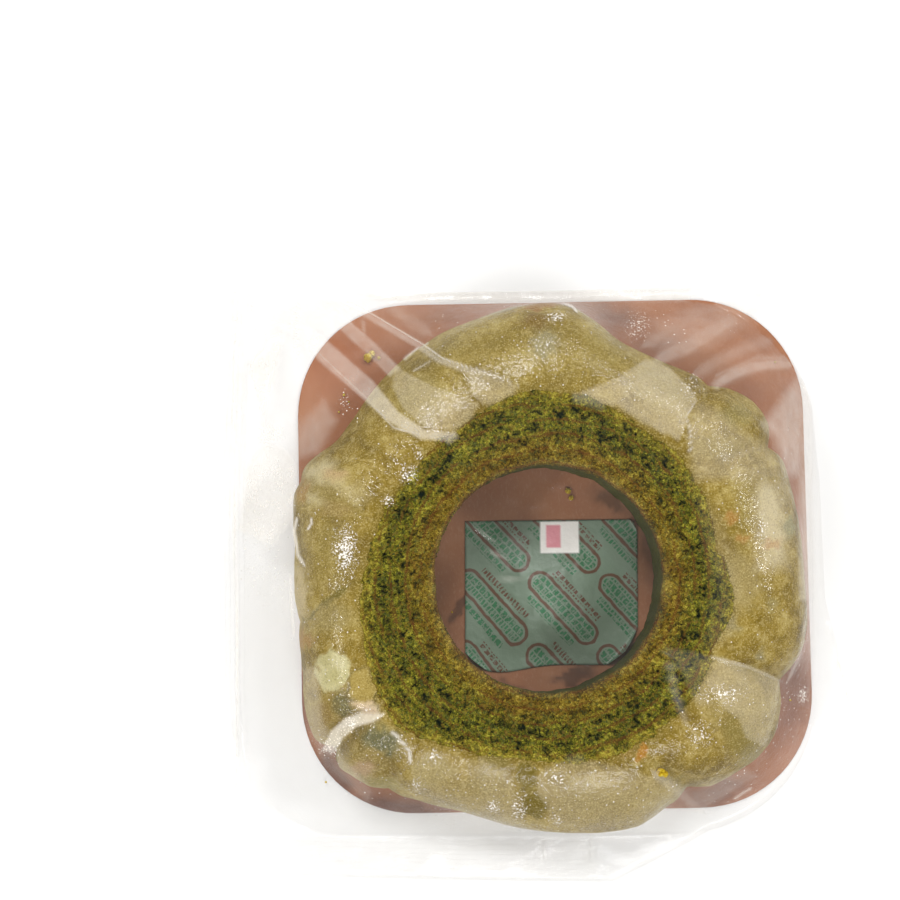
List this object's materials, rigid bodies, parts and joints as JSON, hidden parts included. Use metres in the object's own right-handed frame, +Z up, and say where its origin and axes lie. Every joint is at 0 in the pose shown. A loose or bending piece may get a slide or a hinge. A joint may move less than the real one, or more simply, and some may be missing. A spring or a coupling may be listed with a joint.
{
  "type": "sealed bag of baumkuchen",
  "caption": "Green tea ring cake with a lobed, glazed flank on a square card tray, sealed in a clear flat-edged bag.",
  "frame": {"origin": "under the middle of the bag, on the surface that it lies on", "axes": "+Z up out of the cut face of the cake; +X and +Y along the bag's width and length, +Y to the top of the picture"},
  "size_m": [0.1987, 0.1877, 0.042],
  "materials": {
    "film_over_cake": "clear glossy film over an olive glazed cake",
    "clear_film": "clear glossy plastic film, taken as 0.05 mm thick, creased",
    "sponge": "open, moist green tea crumb with thin browned rings",
    "glaze": "mottled olive skin under a thin sugar glaze",
    "card_tray": "matt brown coated card",
    "sachet": "pale green printed paper film, heat sealed"
  },
  "bodies": {
    "root": {"sealed_bag": "film_over_cake"}
  },
  "joints": []
}
